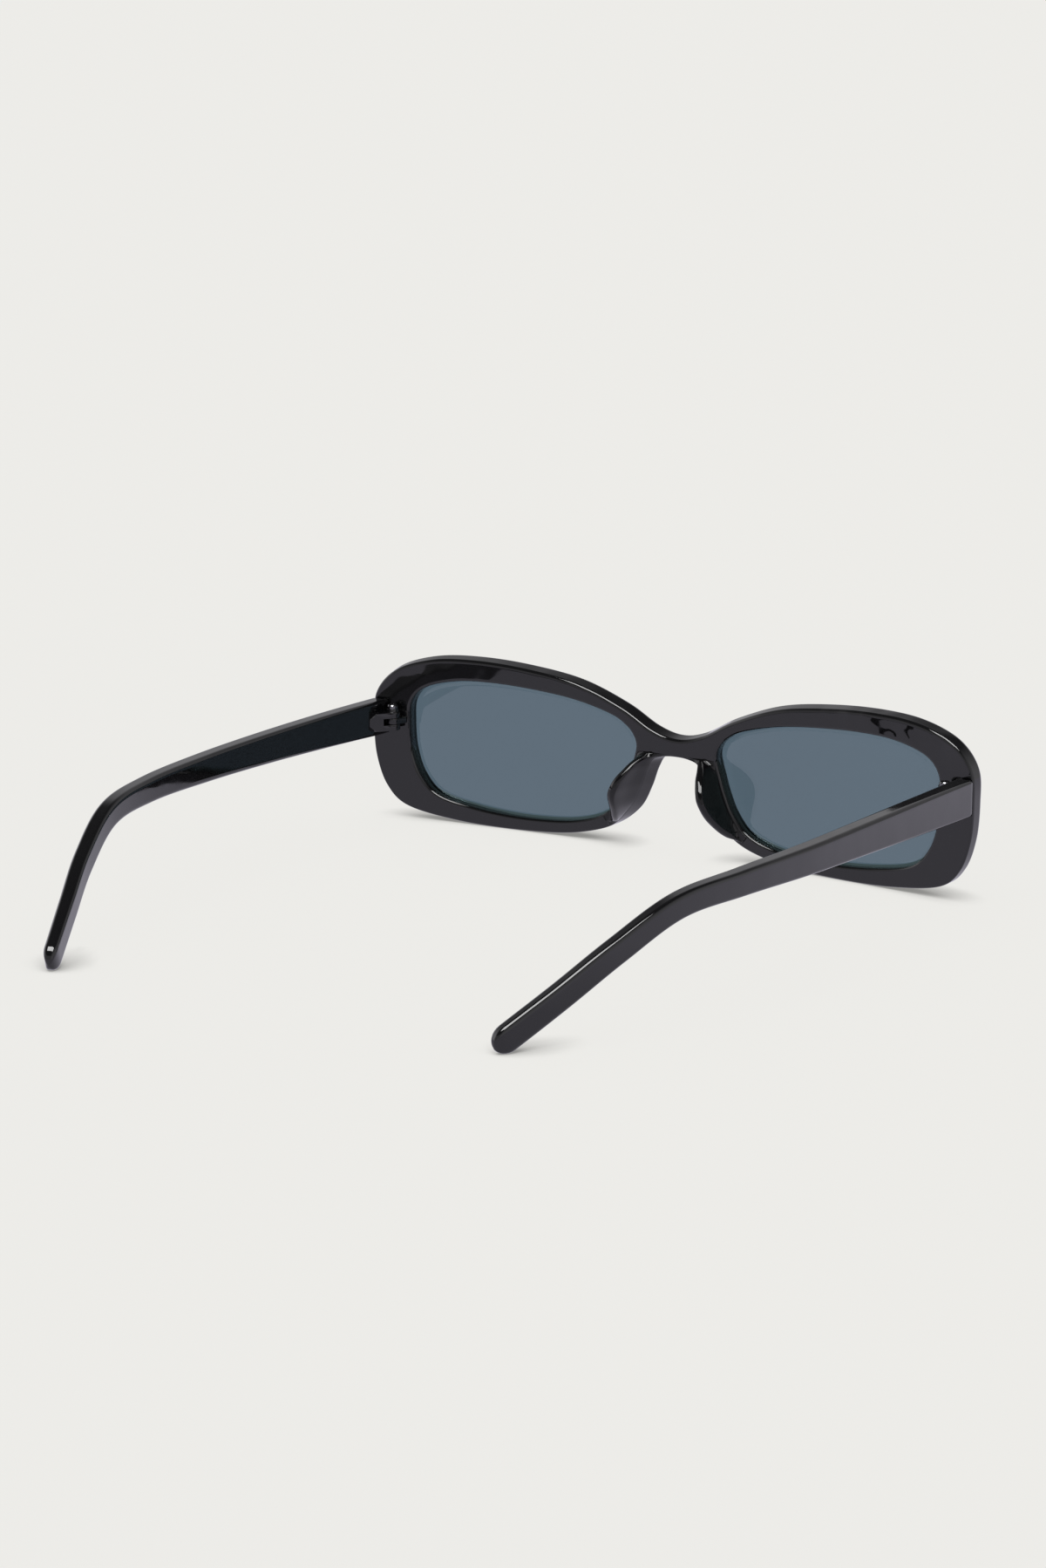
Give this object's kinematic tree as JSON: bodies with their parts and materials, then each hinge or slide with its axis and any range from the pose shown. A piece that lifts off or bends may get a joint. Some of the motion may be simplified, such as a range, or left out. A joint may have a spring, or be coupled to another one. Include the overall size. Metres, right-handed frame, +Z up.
{
  "type": "sunglasses",
  "caption": "Rounded rectangular sunglasses: a moulded glossy front with tinted lenses and nose pads, and temples that fold on screwed barrel hinges.",
  "frame": {"origin": "floor level, at the middle of the pair's footprint", "axes": "+Z up; the wearer looks along -Y and the temples run back along +Y; +X is the wearer's left"},
  "size_m": [0.1422, 0.1462, 0.0353],
  "materials": {
    "frame_plastic": "polished black moulded plastic",
    "lens_tint": "polished blue-grey tinted plastic, see-through",
    "pad_plastic": "polished black moulded plastic",
    "hinge_plastic": "satin black moulded plastic",
    "screw_steel": "bright screw with a cross slot"
  },
  "bodies": {
    "front": {"front": "frame_plastic", "lens_left": "lens_tint", "lens_right": "lens_tint", "nose_pad_left": "pad_plastic", "nose_pad_right": "pad_plastic", "front_hinge_left": "hinge_plastic", "front_hinge_right": "hinge_plastic"},
    "temple_left": {"temple_left": "frame_plastic", "temple_hinge_left": "hinge_plastic", "hinge_screw_left": "screw_steel"},
    "temple_right": {"temple_right": "frame_plastic", "temple_hinge_right": "hinge_plastic", "hinge_screw_right": "screw_steel"}
  },
  "joints": [
    {"name": "fold_left", "type": "hinge", "parent": "front", "child": "temple_left", "pos_m": [0.065, -0.06195, 0.021], "axis": [0, 0, 1], "range_deg": [0, 83]},
    {"name": "fold_right", "type": "hinge", "parent": "front", "child": "temple_right", "pos_m": [-0.065, -0.06195, 0.021], "axis": [0, 0, -1], "range_deg": [0, 71]}
  ]
}
